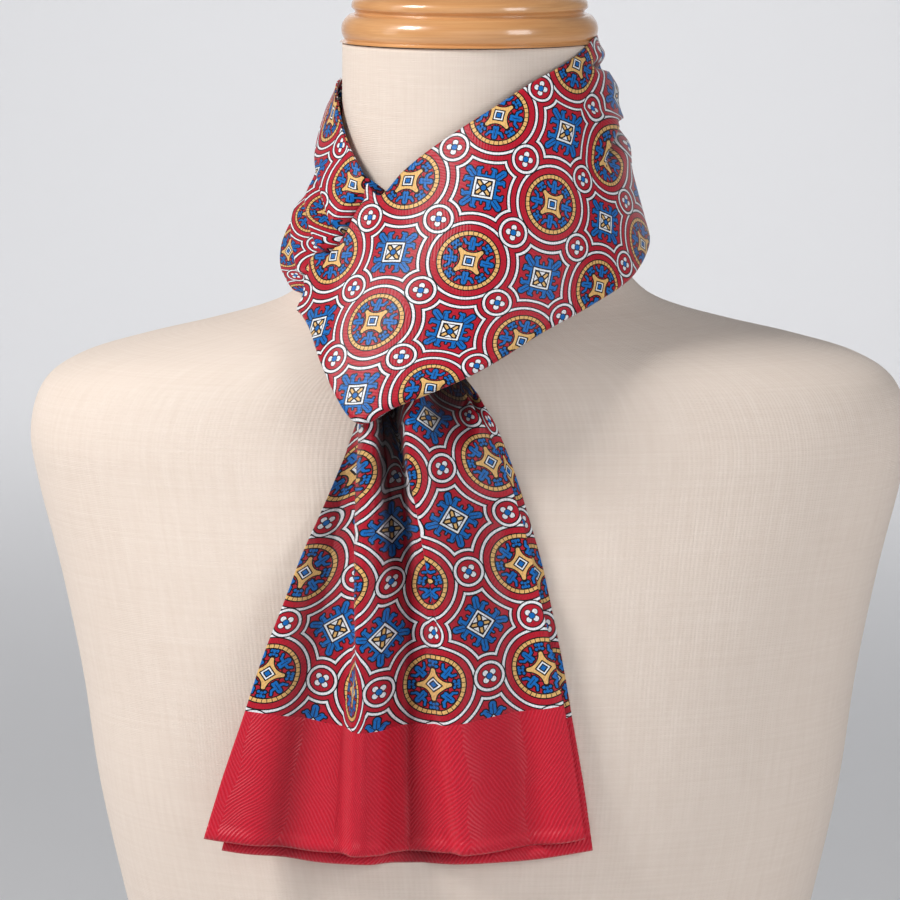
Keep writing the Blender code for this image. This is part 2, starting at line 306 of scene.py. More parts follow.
def print_group():
    """The medallion print. Place is in repeats, measured on the cloth."""
    tree, start, end = new_group("medallion_print", [("Place", "vector")], [("Colour", "colour")])
    split = tree.nodes.new("ShaderNodeSeparateXYZ")
    tree.links.new(start.outputs["Place"], split.inputs[0])
    u, v = Term(tree, split.outputs[0]), Term(tree, split.outputs[1])

    # Places from the nearest medallion, the nearest cell centre and the two roundels
    mx, my = (u + 0.5).fract() - 0.5, (v + 0.5).fract() - 0.5
    sx, sy = u.fract() - 0.5, v.fract() - 0.5
    from_medallion = distance(mx, my)
    roundel_one, roundel_two = distance(sx, my), distance(mx, sy)
    from_roundel = roundel_one.low(roundel_two)
    a, b = folded(mx, my)
    along, aside = (a + b) * 0.70711, (a - b) * 0.70711
    c, d = folded(sx, sy)
    paint = Paint(tree, RED)

    # The cusped square: a white line that stays outside medallions and roundels
    square = (from_medallion - 0.457).low(from_roundel - 0.205)
    paint.shape(square.abs() - 0.0135, WHITE)

    # Blue leaves at the square's corners, joined by a band round its frame
    box, side = (c + d) * 0.70711, (c - d) * 0.70711
    leaves = (box - 0.127).low(stroke(box, side, (0.12, 0.0), (0.150, 0.0), 0.009))
    for first, last, radius in (
        ((0.150, 0.000), (0.235, 0.000), 0.031),
        ((0.140, 0.040), (0.179, 0.068), 0.023),
        ((0.179, 0.068), (0.170, 0.100), 0.0115),
    ):
        leaves = leaves.low(stroke(c, d, first, last, radius))
    leaves = leaves.high(-disc(c, d, 0.207, 0.043, 0.014))
    paint.shape(leaves, BLUE)
    vein = stroke(c, d, (0.150, 0.0), (0.236, 0.0), 0.0035)
    branch = stroke(c, d, (0.140, 0.012), (0.180, 0.058), 0.0035)
    paint.over(vein.low(branch).under(0.0), INK)

    # The square's white frame, gold petals, white corners and blue heart
    paint.shape(box - 0.097, WHITE)
    paint.over(box.under(0.078), INK)
    paint.over(box.under(0.069), WHITE)
    petal = stroke(c, d, (0.03, 0.0), (0.074, 0.0), 0.0145)
    paint.shape(petal.high(box - 0.064), GOLD, 0.012)
    paint.shape(distance(c, d) - 0.026, BLUE, 0.010)

    # Medallion: white ring, dashed gold ring
    paint.shape((from_medallion - 0.368).abs() - 0.0135, WHITE)
    paint.shape((from_medallion - 0.266).abs() - 0.0185, GOLD)
    turn = my.math("ARCTAN2", mx) * (38 / (2 * math.pi))
    gap = ((turn.fract() - 0.5).abs() - 0.425).over(0.0)
    paint.over(gap * (from_medallion - 0.266).abs().under(0.0185), INK)

    # Red curls, with four large leaves over them towards the squares
    ribbon = (distance(along - 0.2174, aside) - 0.108).abs().high(aside - 0.066).high(along - 0.2)
    paint.over(ribbon.under(0.0045), INK)
    paint.shape(disc(along, aside, 0.139, 0.070, 0.027), RED, 0.009)
    leaf = stroke(along, aside, (0.134, 0.0), (0.208, 0.0), 0.0265)
    for first, last, radius in (
        ((0.120, 0.015), (0.140, 0.014), 0.0155),
        ((0.164, 0.015), (0.169, 0.056), 0.0145),
        ((0.169, 0.056), (0.199, 0.080), 0.0125),
    ):
        leaf = leaf.low(stroke(along, aside, first, last, radius))
    paint.shape(leaf, BLUE)
    paint.over(stroke(along, aside, (0.135, 0.0), (0.200, 0.0), 0.0035).under(0.0), INK)

    # Four small sprigs at the star's tips
    sprig = stroke(a, b, (0.19, 0.0), (0.222, 0.0), 0.016)
    for x, y, radius in ((0.221, 0.025, 0.017), (0.180, 0.028, 0.016)):
        sprig = sprig.low(disc(a, b, x, y, radius))
    paint.shape(sprig, BLUE)
    paint.over(stroke(a, b, (0.196, 0.006), (0.217, 0.020), 0.003).under(0.0), INK)

    # Gold star with hollow sides and round tips, white square and blue heart
    hollow = disc(along, aside, 0.2174, 0.0, 0.1354)
    star = (-hollow).high(a - 0.138).low(disc(a, b, 0.136, 0.0, 0.0205))
    paint.shape(star, GOLD)
    heart = (a + b) * 0.70711
    paint.shape(heart - 0.046, WHITE)
    paint.shape(heart - 0.022, BLUE, 0.009)

    # Roundels: white ring, four petals and a blue heart
    ring = (from_roundel - 0.127).abs() - 0.0140
    paint.over((from_roundel - 0.1495).under(0.0), RED)
    paint.shape(ring, WHITE)
    for x, y in ((sx, my), (mx, sy)):
        diagonal, side = folded((x + y) * 0.70711, (x - y) * 0.70711)
        paint.shape(disc(diagonal, side, 0.047, 0.0, 0.0265), WHITE, 0.006)
        paint.shape(distance(x, y) - 0.027, BLUE, 0.006)
    tree.links.new(paint.last, end.inputs["Colour"])
    print("medallion_print:", len(tree.nodes), "nodes")
    return tree


medallion_print = print_group()


# %% [markdown]
# ## Weave and relief
# The silk has a fine satin grain. Towards the ends, a figured weave lifts nested zigzags.
# The linen is a plain weave with slubs, and the wood has long grain round the turning.

# %%
def silk_relief_group():
    """Height of the silk's figured zigzags and of its fine grain. Place is in metres."""
    tree, start, end = new_group(
        "silk_relief", [("Place", "vector")], [("Figure", "value"), ("Grain", "value")]
    )
    place = start.outputs["Place"]
    drift = texture(tree, "ShaderNodeTexNoise", place, Scale=26.0, Detail=2.0)
    split = tree.nodes.new("ShaderNodeSeparateXYZ")
    tree.links.new(place, split.inputs[0])
    x, y = Term(tree, split.outputs[0]), Term(tree, split.outputs[1])
    wander = Term(tree, drift.outputs[0]) - 0.5
    zigzag = ((x / 0.046 + wander * 0.3).fract() - 0.5).abs() * 2.0
    lines = (y / 0.0025 + zigzag * 13.0 + wander * 0.5).fract()
    ridge = ((lines - 0.5).abs() * 2.0).math("POWER", 1.5)
    tree.links.new(ridge.socket, end.inputs["Figure"])
    stretched = scaled(tree, place, (1.0, 0.22, 1.0))
    grain = texture(tree, "ShaderNodeTexNoise", stretched, Scale=2600.0, Detail=1.0)
    tree.links.new(grain.outputs[0], end.inputs["Grain"])
    return tree


def linen_group():
    """Plain weave: threads both ways, uneven in width and tone. Place is in metres."""
    tree, start, end = new_group(
        "linen_weave", [("Place", "vector")], [("Height", "value"), ("Tone", "value")]
    )
    place = start.outputs["Place"]
    split = tree.nodes.new("ShaderNodeSeparateXYZ")
    tree.links.new(place, split.inputs[0])
    x, y = Term(tree, split.outputs[0]), Term(tree, split.outputs[1])
    heights, tones = [], []
    for along, stretch in ((x, (700.0, 34.0, 1.0)), (y, (34.0, 700.0, 1.0))):
        slub = texture(tree, "ShaderNodeTexNoise", scaled(tree, place, stretch), Scale=1.0, Detail=2.0)
        uneven = Term(tree, slub.outputs[0])
        thread = ((along / 0.00085 + uneven * 0.8).fract() - 0.5).abs() * 2.0
        heights.append(thread * (uneven * 1.2 + 0.2))
        tones.append(uneven)
    tree.links.new((heights[0] + heights[1]).socket, end.inputs["Height"])
    tree.links.new((tones[0] + tones[1] - 1.0).socket, end.inputs["Tone"])
    return tree


def wood_group():
    """Long grain: noise stretched across, darker in thin streaks. Place is in metres."""
    tree, start, end = new_group(
        "turned_wood", [("Place", "vector")], [("Tone", "value"), ("Streak", "value")]
    )
    place = start.outputs["Place"]
    long, longer = scaled(tree, place, (9.0, 30.0, 160.0)), scaled(tree, place, (30.0, 90.0, 1500.0))
    wide = texture(tree, "ShaderNodeTexNoise", long, Scale=1.0, Detail=3.0)
    fine = texture(tree, "ShaderNodeTexNoise", longer, Scale=1.0, Detail=3.0)
    streak = (Term(tree, fine.outputs[0]) - 0.5) * 3.0 + 0.5
    tree.links.new(wide.outputs[0], end.inputs["Tone"])
    tree.links.new(streak.math("MINIMUM", 1.0).socket, end.inputs["Streak"])
    return tree


silk_relief, linen_weave, turned_wood = silk_relief_group(), linen_group(), wood_group()


# %% [markdown]
# ## Materials
# The silk reads its print from the UV map, in repeats, and its relief from the same map in
# metres. `hem` is each point's distance from the scarf's end, where the cloth is plain red,
# and `hollow` is how much shade is painted on the silk deep in a fold or under other cloth.

# %%
def add_group(tree, group, vector, label="Place"):
    node = tree.nodes.new("ShaderNodeGroup")
    node.node_tree = group
    tree.links.new(vector, node.inputs[label])
    return node


def new_material(name, roughness, **settings):
    look = bpy.data.materials.new(name)
    look.use_nodes = True
    tree = look.node_tree
    shader = tree.nodes["Principled BSDF"]
    shader.inputs["Roughness"].default_value = roughness
    for label, value in settings.items():
        shader.inputs[label.replace("_", " ")].default_value = value
    return look, tree, shader


END_LENGTH = 62.0  # plain red, from the hem up
NO_HEM = 500.0  # for cloth far from the ends


def silk_material():
    look, tree, shader = new_material("printed_silk", 0.4, Specular_IOR_Level=0.2, Sheen_Weight=0.12)
    uv = tree.nodes.new("ShaderNodeUVMap")
    uv.uv_map = "UVMap"
    printed = add_group(tree, medallion_print, uv.outputs[0])
    relief = add_group(tree, silk_relief, scaled(tree, uv.outputs[0], (REPEAT * MM,) * 3))
    hem = tree.nodes.new("ShaderNodeAttribute")
    hem.attribute_name = "hem"
    plain = Term(tree, hem.outputs["Fac"]).under(END_LENGTH)
    paint = Paint(tree, printed.outputs["Colour"])
    figure = Term(tree, relief.outputs["Figure"])
    paint.over(plain, BORDER_RED)
    paint.over(plain * figure * 0.4, BORDER_LIGHT)
    shade = (Term(tree, relief.outputs["Grain"]) - 0.46) * 2.2 + (figure - 0.6) * 0.3
    paint.over(shade.high(0.0).low(0.22) * (-plain * 0.5 + 1.0), INK)
    # Painted shade: the silk's colour goes towards near-black where the 'hollow' value says it lies deep in
    # a fold or under other cloth
    hollow = tree.nodes.new("ShaderNodeAttribute")
    hollow.attribute_name = "hollow"
    paint.over(Term(tree, hollow.outputs["Fac"]), PAINTED_FOLD_SHADE)
    height = figure * (plain * 0.9 + 0.35) + Term(tree, relief.outputs["Grain"]) * 0.30
    tree.links.new(paint.last, shader.inputs["Base Color"])
    tree.links.new(bumped(tree, height.socket, 0.7, 0.00028), shader.inputs["Normal"])
    return look


def linen_material():
    look, tree, shader = new_material("linen_cover", 0.92, Sheen_Weight=0.1)
    uv = tree.nodes.new("ShaderNodeUVMap")
    uv.uv_map = "UVMap"
    weave = add_group(tree, linen_weave, uv.outputs[0])
    paint = Paint(tree, linear(221, 204, 190))
    paint.over((Term(tree, weave.outputs["Tone"]) * 0.8 + 0.5).low(1.0).high(0.0), linear(234, 220, 208))
    tree.links.new(paint.last, shader.inputs["Base Color"])
    tree.links.new(bumped(tree, weave.outputs["Height"], 0.5, 0.00016), shader.inputs["Normal"])
    return look


def wood_material():
    look, tree, shader = new_material("lacquered_wood", 0.3, Coat_Weight=0.8, Coat_Roughness=0.12)
    place = tree.nodes.new("ShaderNodeTexCoord")
    grain = add_group(tree, turned_wood, place.outputs["Object"])
    paint = Paint(tree, linear(206, 146, 90))
    paint.over((Term(tree, grain.outputs["Tone"]) * 1.8 - 0.4).math("MINIMUM", 1.0), linear(226, 172, 116))
    paint.over(Term(tree, grain.outputs["Streak"]).math("MAXIMUM", 0.0) * 0.35, linear(184, 120, 66))
    tree.links.new(paint.last, shader.inputs["Base Color"])
    return look


silk, linen, wood = silk_material(), linen_material(), wood_material()

# %% [markdown]
# ## The loop round the neck
# The loop is read from sections, each from the neckline to the lower edge. Its folds are
# troughs along short lines, and each hides some cloth: the print jumps on by that much as
# it crosses the fold.

# %%
# Columns: neckline x y z, lower edge x y z, bulge
LOOP = (
    (-31.0, -62.0, 683.5, -52.2, -117.0, 575.0, 2.0),
    (-19.2, -65.0, 693.5, -34.0, -119.5, 582.6, 3.0),
    (-2.5, -67.0, 705.0, -8.0, -119.5, 593.0, 4.0),
    (11.4, -66.0, 713.8, 10.5, -115.5, 601.5, 5.0),
    (27.4, -60.0, 724.0, 34.0, -103.0, 614.4, 6.0),
    (38.6, -52.0, 729.7, 57.0, -86.0, 625.0, 6.5),
    (49.8, -38.0, 736.0, 76.0, -58.0, 634.8, 4.0),
    (58.4, -15.0, 743.0, 85.0, -14.0, 646.0, 0.0),
    (59.2, 14.0, 742.0, 80.0, 18.0, 649.0, 1.0),
    (47.5, 41.0, 737.0, 59.0, 50.0, 652.0, 3.0),
    (21.0, 58.2, 734.0, 30.0, 70.5, 652.5, 3.0),
    (-6.0, 61.0, 731.0, -8.0, 76.5, 650.5, 3.0),
    (-32.0, 53.2, 728.0, -42.0, 67.0, 648.0, 3.0),
    (-53.5, 33.0, 724.5, -73.0, 43.0, 641.0, 1.0),
    (-62.6, 6.0, 720.5, -87.8, 8.0, 635.5, -3.0),
    (-61.8, -14.0, 709.7, -88.6, -18.0, 629.0, -2.0),
    (-57.4, -32.0, 695.5, -84.0, -42.0, 621.5, 2.0),
    (-51.5, -45.0, 685.0, -75.0, -68.0, 612.0, 4.5),
    (-42.5, -56.5, 672.0, -66.5, -98.0, 594.5, 3.0),
)
# Columns: x and z, as seen from the camera, at the fold's hooked end, at two places along
# it and where it fades, how high its upper side stands, how deep its lower side dives,
# and the repeats of print that it hides, along and down. The upper side is to the right
# of its course.
FOLDS = (
    (70.0, 702.5, 68.5, 696.5, 66.8, 691.5, 65.6, 687.0, 1.0, 5.5, -0.26, 0.0),
    (60.5, 727.5, 64.0, 726.5, 69.0, 724.5, 74.0, 722.0, 1.2, 4.5, 0.0, -0.14),
)
# The band's edge on the viewer's left, under which the rolls end: x and z as seen
BAND_EDGE = (
    (-83.0, 611.5),
    (-79.0, 620.0),
    (-78.5, 628.5),
    (-76.5, 635.5),
    (-73.0, 639.5),
    (-67.5, 637.5),
    (-61.5, 645.0),
    (-58.0, 650.5),
    (-53.5, 660.0),
    (-49.5, 664.0),
    (-43.0, 667.0),
    (-37.0, 671.5),
)
SUNK = 8.0  # how far the loop's own cloth lies under the rolls
EDGE_WIDE = 2.0  # how wide the step down at the band's edge is
SUNK_FROM = 0.3  # the share from neckline to edge over which the cloth sinks
SUNK_TO, SUNK_EASE = 8.0, 20.0  # it is sunk where y is less than this, and over how much y
FOLD_SHADE_DEPTH, SUNK_SHADE = 6.0, 0.9  # the fold depth at which the painted shade is full, and how much shade is painted on sunk cloth
BILLOW_TO = 30.0  # billows lie only where y is less than this
# Columns: x and z, how far out, half width and half height
BILLOWS = ((72.0, 718.0, 3.0, 12.0, 5.0), (74.0, 705.0, 2.4, 12.0, 13.0))
HEM_RADIUS, HEM_STEPS, HEM_RETURN = 2.0, 6, 14.0
LEFT_SIDE, TUCK = 13.6, 0.5  # the loop's ends meet at this row, one tucked under the other
DOWN = 96
NAPE_FROM = 7.2  # from this row on, the print is measured out
BEND_EASE = 0.02  # how far the print's map may miss a landmark to stay smooth
FAR_OFF, NEARER = 1e6, 0.1  # a landmark's point lies in front, and nearer the camera if two fit
# Columns: row of the loop, and how many of the grid's columns lie before it
SPREAD = (
    (LEFT_SIDE - len(LOOP), 0),
    (-4.2, 20),
    (-1.2, 165),
    (1.0, 230),
    (8.5, 330),
    (LEFT_SIDE + TUCK, 372),
)

# Where the print's medallions, squares and roundels lie. Columns: x and z as seen from
# the camera, and the place in the print, in repeats along the band and down it.
LANDMARKS = (
    (51.5, 729.5, 0.0, 0.0),
    (13.5, 705.5, 1.0, 0.0),
    (-29.5, 674.5, 2.0, 0.0),
    (-65.0, 637.5, 3.0, 0.0),
    (65.0, 685.0, 0.0, 1.0),
    (39.5, 662.5, 1.0, 1.0),
    (-1.0, 636.0, 2.0, 1.0),
    (-46.5, 607.5, 3.0, 1.0),
    (82.0, 644.0, 0.0, 2.0),
    (62.5, 623.0, 1.0, 2.0),
    (25.5, 595.5, 2.0, 2.0),
    (-16.0, 571.0, 3.0, 2.0),
    (46.0, 697.0, 0.5, 0.5),
    (6.0, 670.5, 1.5, 0.5),
    (-36.5, 640.0, 2.5, 0.5),
    (-72.5, 603.5, 3.5, 0.5),
    (64.5, 654.5, 0.5, 1.5),
    (33.5, 626.5, 1.5, 1.5),
    (-9.5, 601.0, 2.5, 1.5),
    (-54.5, 571.0, 3.5, 1.5),
    (-47.5, 656.5, 2.5, 0.0),
    (-79.0, 620.0, 3.5, 0.0),
    (-73.0, 650.0, 3.0, -0.5),
)


def seen(grid):
    """Where points appear from the camera, as x and z on the upright plane y = 0."""
    far, c, s = CAMERA_DISTANCE / MM, math.cos(CAMERA_TILT), math.sin(CAMERA_TILT)
    x, y, z = (grid - np.array([AIM.x, 0.0, AIM.z]) / MM).transpose(2, 0, 1)
    depth = far + y * c - z * s
    up = (y * s + z * c) / depth
    height = up * far / (c + up * s)
    return np.stack([AIM.x / MM + x / depth * (far - height * s), AIM.z / MM + height], axis=-1)


def loop_surface():
    """The loop's points, its sections' row numbers and its share from neckline to edge."""
    rows_at, columns = np.array(SPREAD).T
    at = np.interp(np.arange(columns[-1]), columns, rows_at)
    at = np.concatenate([at[:1], (at[:-2] + at[1:-1] + at[2:]) / 3, at[-1:]])
    rows = through(LOOP, at % len(LOOP), closed=True)
    neckline, edge, bulge = rows[:, 0:3], rows[:, 3:6] + (0, 0, HEM_RADIUS), rows[:, 6]
    part = np.linspace(0, 1, DOWN)
    grid = neckline[:, None] + (edge - neckline)[:, None] * part[None, :, None]
    outward = unit(np.concatenate([grid[..., :2], np.zeros((*grid.shape[:2], 1))], axis=-1))
    grid += outward * (bulge[:, None] * np.sin(np.pi * part)[None])[..., None]
    tuck = smooth_step((at - LEFT_SIDE) / TUCK * 2.0)[:, None]
    grid -= outward * (2.0 * tuck)[..., None]
    return grid, outward, at, part


def from_line(spot, line):
    """Distance of points from a bent line: across it (right of its course is positive),
    how far along it they are, from 0 to 1, and how far they lie past either end."""
    nearest = np.full(spot.shape[:2], 1e9)
    across, along, before, after = np.zeros((4, *spot.shape[:2]))
    for k in range(len(line) - 1):
        step = line[k + 1] - line[k]
        length = np.linalg.norm(step)
        away = spot - line[k]
        raw = (away @ step) / length**2
        part = np.clip(raw, 0, 1)
        gap = np.linalg.norm(away - part[..., None] * step, axis=-1)
        closer = gap < nearest
        nearest = np.where(closer, gap, nearest)
        right = (step[1] * away[..., 0] - step[0] * away[..., 1]) / length
        side = np.where(part == raw, right, np.sign(right) * gap)
        across = np.where(closer, side, across)
        along = np.where(closer, (k + part) / (len(line) - 1), along)
        before = np.where(closer, np.maximum(-raw, 0) * length * (k == 0), before)
        after = np.where(closer, np.maximum(raw - 1, 0) * length * (k == len(line) - 2), after)
    return across, along, before, after


# A fold's shape across its line, in mm: how wide the line is, where the roll on its upper
# side stands and how wide, how wide the dive is, and where the swell below it lies
LINE_WIDE, ROLL_AT, ROLL_WIDE, DIVE_WIDE, SWELL_AT, SWELL_WIDE = 1.1, 2.5, 4.5, 4.2, 7.5, 4.5
SWELL_SHARE = 0.35  # the swell's height as a share of the dive
FADE_BEFORE, FADE_AFTER = 2.2, 6.0  # how fast a fold fades past its two ends
FADE_ALONG = 0.35  # how much lower a fold is where it fades
SHARP_DIVE, PIT_DEPTH = 3.2, 2.0  # folds that dive more have a pit at their hooked end
HIDE_FADE = 18.0  # how far from a fold the hidden print is evened out
FRONT_TO = 18.0  # folds lie only where y is less than this


def fold_field(grid):
    """The folds' height at each point, and the repeats of print that they hide there. A
    fold's upper side is a low roll, and its lower side dives under with a sharp line.
    Roll, dive and swell are bell curves, exp(-(distance / width)^2)."""
    height, hidden = np.zeros(grid.shape[:2]), np.zeros((*grid.shape[:2], 2))
    spot, front = seen(grid), grid[..., 1] < FRONT_TO
    for row in FOLDS:
        across, along, before, after = from_line(spot, np.array(row[:8]).reshape(4, 2))
        stands, dives, *hides = row[8:]
        past = (before / FADE_BEFORE) ** 2 + (after / FADE_AFTER) ** 2
        fade = (1 - FADE_ALONG * along**2) * np.exp(-past) * front
        over = smooth_step(across / LINE_WIDE + 0.5)
        roll = stands * np.exp(-(((across - ROLL_AT) / ROLL_WIDE) ** 2))
        under = np.minimum(across, 0)
        swell = SWELL_SHARE * dives * np.exp(-(((under + SWELL_AT) / SWELL_WIDE) ** 2))
        dive = swell - dives * np.exp(-((under / DIVE_WIDE) ** 2))
        height += fade * (over * roll + (1 - over) * dive)
        pit = np.exp(-(across**2 + before**2 + (along * 14) ** 2) / 2.6)
        height -= PIT_DEPTH * pit * front * (dives > SHARP_DIVE)
        side = fade * (0.5 - over) * np.exp(-np.abs(across) / HIDE_FADE)
        hidden += side[..., None] * hides
    return height, hidden


def bend_map(points, targets, at):
    """Thin-plate map in space: a flat part plus, at each given point, a cone whose height
    is the distance from it. It takes each given point to its target and bends least."""
    def kernel(a, b):
        return np.linalg.norm(a[:, None] - b[None], axis=-1)

    count = len(points)
    flat = np.concatenate([np.ones((count, 1)), points], axis=1)
    matrix = np.zeros((count + 4, count + 4))
    matrix[:count, :count] = kernel(points, points) - BEND_EASE * np.eye(count)
    matrix[:count, count:], matrix[count:, :count] = flat, flat.T
    weights = np.linalg.solve(matrix, np.concatenate([targets, np.zeros((4, 2))]))
    return kernel(at, points) @ weights[:count] + weights[count] + at @ weights[count + 1 :]


def loop_print(grid, shown, at, hidden):
    """The print's place on the loop: fixed at the landmarks, smooth between them, and
    measured out at one repeat each 51 mm behind the neck. grid has no folds, and shown
    has them: a landmark belongs to the point that shows there."""
    spot, front = seen(shown), shown[..., 1] < FRONT_TO
    places, targets = [], []
    for x, z, along, across in LANDMARKS:
        gap = (spot[..., 0] - x) ** 2 + (spot[..., 1] - z) ** 2 + FAR_OFF * ~front
        gap += NEARER * shown[..., 1]
        k, m = np.unravel_index(gap.argmin(), gap.shape)
        places.append(grid[k, m] / REPEAT)
        targets.append((along - hidden[k, m, 0], across - hidden[k, m, 1]))
    spread = bend_map(np.array(places), np.array(targets), grid.reshape(-1, 3) / REPEAT)
    spread = spread.reshape(*grid.shape[:2], 2)
    right = int(np.searchsorted(at, NAPE_FROM))
    around = np.cumsum(np.linalg.norm(np.diff(grid[right:], axis=0), axis=-1), axis=0) / REPEAT
    spread[right + 1 :, :, 0] = spread[right, :, 0] - around
    spread[right + 1 :, :, 1] = spread[right, :, 1]
    return spread + hidden


def add_hem(grid, place):
    """The lower edge turned in and up round a small circle, with the print carried on."""
    last = grid[:, -1]
    down = unit(last - grid[:, -3])
    inward = -grid_normals(grid)[:, -1]
    inward = np.where((inward * last).sum(-1, keepdims=True) > 0, -inward, inward)
    angles = np.linspace(0, math.pi, HEM_STEPS + 1)[1:]
    turn = [
        last + HEM_RADIUS * (math.sin(angle) * down + (1 - math.cos(angle)) * inward)
        for angle in angles
    ]
    turn += [turn[-1] - back * down for back in np.linspace(0, HEM_RETURN, 8)[1:]]
    hem = np.stack(turn, axis=1)
    step = np.linalg.norm(np.diff(np.concatenate([grid[:, -1:], hem], axis=1), axis=1), axis=-1)
    slope = unit(place[:, -1] - place[:, -4])[:, None]
    carried = place[:, -1:] + slope * (np.cumsum(step, axis=1) / REPEAT)[..., None]
    return np.concatenate([grid, hem], axis=1), np.concatenate([place, carried], axis=1)


plain_loop, outward, at, part = loop_surface()
height, hidden = fold_field(plain_loop)
billow = np.zeros_like(height)
for x, z, reach, wide, high in BILLOWS:
    away = ((plain_loop[..., 0] - x) / wide) ** 2 + ((plain_loop[..., 2] - z) / high) ** 2
    billow += reach * np.exp(-away) * (plain_loop[..., 1] < BILLOW_TO)
left_of_edge = -from_line(seen(plain_loop), np.array(BAND_EDGE))[0]
sunk = smooth_step(left_of_edge / EDGE_WIDE) * smooth_step(part / SUNK_FROM)
sunk = sunk * smooth_step((SUNK_TO - plain_loop[..., 1]) / SUNK_EASE)
loop_grid = plain_loop + outward * (billow + height - SUNK * sunk)[..., None]
loop_place = loop_print(plain_loop, loop_grid, at, hidden)
loop_grid, loop_place = add_hem(loop_grid, loop_place)
# Painted shade: darker the deeper a fold dives, and where the loop lies sunk under the rolls
hollow = np.clip(np.maximum(-height / FOLD_SHADE_DEPTH, SUNK_SHADE * sunk), 0, SUNK_SHADE)
hollow = np.pad(hollow, ((0, 0), (0, loop_grid.shape[1] - hollow.shape[1])))
values = {"hem": np.full(loop_grid.shape[:2], NO_HEM), "hollow": hollow}
loop = surface("scarf_loop", loop_grid, silk, loop_place, values)
give_wall(loop, 0.8)
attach(loop, "root")
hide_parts("crossed_front", "nape_stretch")

# %% [markdown]
# ## The rolls on the left
# On the viewer's left the cloth lies in soft rolls. Each has a rounded left edge, dives to
# the right under the next roll, and ends under the band.

# %%
# Columns: left edge x y z, right edge x y z, from the nape down to the band
NECK_ROLL = (
    (-59.5, 20.0, 716.0, -58.0, 24.0, 725.0),
    (-63.8, 4.0, 707.5, -62.4, 3.0, 721.0),
    (-69.6, -6.0, 687.0, -62.2, -14.0, 710.2),
    (-67.8, -32.0, 675.0, -57.8, -32.5, 695.6),
    (-65.2, -47.0, 666.0, -53.4, -42.5, 688.0),
    (-62.0, -58.0, 658.0, -48.6, -50.0, 680.6),
    (-59.2, -66.5, 649.5, -39.0, -60.5, 668.6),
    (-56.0, -72.0, 641.0, -33.0, -70.0, 656.0),
)
SECOND_ROLL = (
    (-66.5, 12.0, 685.0, -64.0, 4.0, 692.0),
    (-69.5, -6.0, 677.0, -65.8, -21.0, 683.0),
    (-74.2, -18.0, 668.0, -63.8, -42.0, 673.5),
    (-73.0, -38.5, 658.0, -61.0, -54.0, 664.0),
    (-69.5, -54.5, 649.8, -58.6, -62.0, 656.4),
    (-64.4, -64.6, 642.6, -56.6, -67.6, 649.6),
    (-60.0, -75.0, 635.0, -52.0, -75.0, 642.0),
)
THIRD_ROLL = (
    (-70.5, 16.0, 676.0, -68.0, 4.0, 681.0),
    (-74.5, 2.0, 667.5, -71.0, -19.0, 671.0),
    (-80.6, -4.0, 660.5, -71.2, -38.0, 663.0),
    (-81.8, -18.0, 650.5, -68.8, -52.0, 654.4),
    (-80.4, -35.0, 642.4, -65.9, -61.7, 647.8),
    (-78.2, -48.0, 635.2, -62.8, -69.5, 641.4),
    (-75.0, -60.0, 627.0, -60.0, -76.0, 634.0),
    (-70.5, -72.0, 618.5, -56.0, -84.0, 626.0),
)
OUTER_ROLL = (
    (-74.0, 20.0, 668.0, -72.0, 8.0, 674.0),
    (-81.0, 12.0, 659.0, -78.0, -8.0, 663.6),
    (-88.0, 8.0, 645.0, -78.6, -24.0, 653.0),
    (-89.0, -4.0, 635.0, -77.6, -40.0, 644.0),
    (-86.0, -22.0, 630.0, -75.2, -53.5, 637.0),
    (-81.6, -40.0, 626.0, -72.6, -62.5, 631.0),
    (-75.0, -54.0, 622.5, -70.0, -68.0, 625.0),
    (-68.0, -66.0, 618.0, -64.0, -76.0, 621.0),
)
ROLL_ALONG, ROLL_EDGE, ROLL_REST = 72, 12, 34
ROLL_STRETCH = 1.15  # how much more print runs across a roll than its width
ROLL_STARTS = 0.16  # the share of a roll's length over which it rises
ROLL_ENDS, ROLL_FALL = 0.82, 0.13  # where a roll is down again, and over how much of its length
ROLL_DIVE = 6.0  # how far it lies under the next cloth there
SHADE_FROM, SHADE_EASE = 0.74, 0.26  # the share of its width from which shade is painted on a diving roll
# Columns: sections, x and z as seen of a medallion or roundel, where it lies down the
# print, rise, dive, radius of the left edge
ROLLS = (
    (NECK_ROLL, -56.0, 672.1, 0.0, 4.2, -0.6, 2.2),
    (SECOND_ROLL, -65.6, 659.2, 0.0, 4.4, 6.2, 2.6),
    (THIRD_ROLL, -72.5, 643.6, 0.5, 3.6, 6.6, 2.6),
    (OUTER_ROLL, -86.4, 640.5, 0.0, 1.6, 6.6, 2.4),
)


